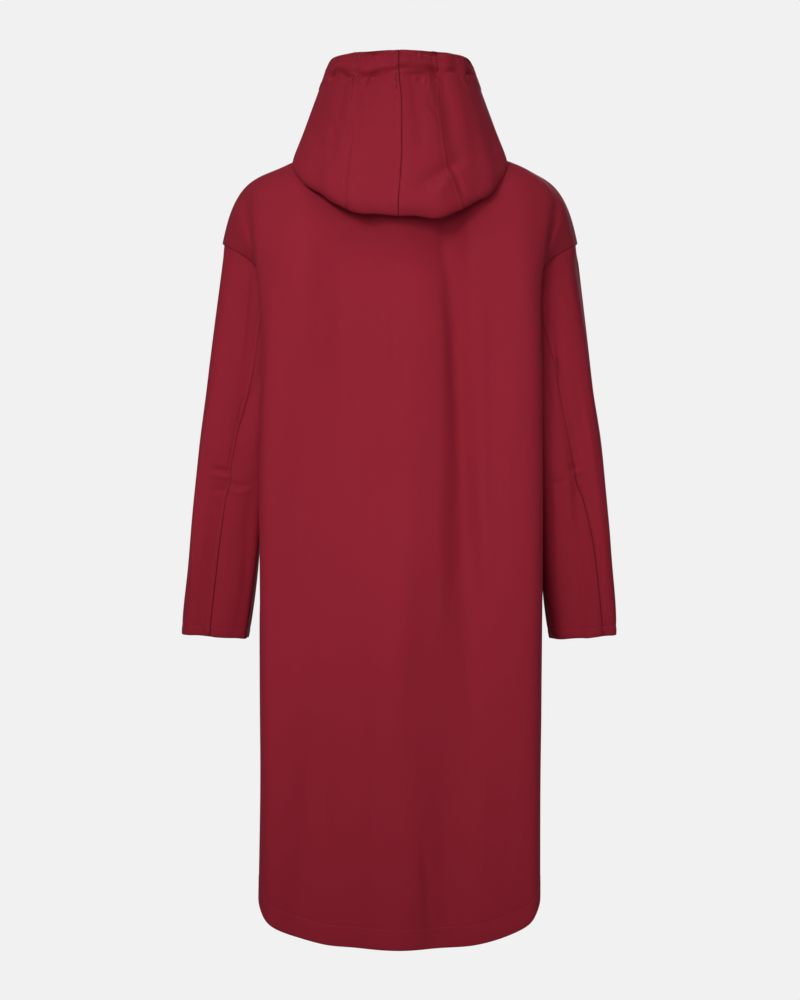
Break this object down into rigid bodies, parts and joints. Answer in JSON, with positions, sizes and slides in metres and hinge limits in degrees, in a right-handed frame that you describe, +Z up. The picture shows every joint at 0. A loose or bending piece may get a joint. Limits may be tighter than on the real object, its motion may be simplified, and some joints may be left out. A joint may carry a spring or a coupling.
{
  "type": "hooded parka",
  "caption": "Long hooded parka of woven cotton, filled out as if worn: dropped shoulders, two-piece sleeves, shirt-tail hem and a hood that stands at the neck and falls open at the back.",
  "frame": {"origin": "centre of the neck, level with the neck ends of the shoulder seams, where the wearer's neck and shoulders carry the coat", "axes": "+Z up, +X the wearer's left, +Y the wearer's back, so the wearer faces -Y"},
  "size_m": [0.5934, 0.282, 1.1902],
  "materials": {
    "cotton": "matte",
    "stud": "satin"
  },
  "bodies": {
    "root": {"back": "cotton", "front_left": "cotton", "front_right": "cotton", "sleeve_upper_left": "cotton", "sleeve_upper_right": "cotton", "sleeve_under_left": "cotton", "sleeve_under_right": "cotton", "hood_back_left": "cotton", "hood_back_right": "cotton", "hood_side_left": "cotton", "hood_side_right": "cotton", "press_stud_1": "stud", "press_stud_2": "stud", "press_stud_3": "stud", "press_stud_4": "stud", "press_stud_5": "stud", "press_stud_6": "stud", "press_stud_7": "stud"}
  },
  "joints": []
}
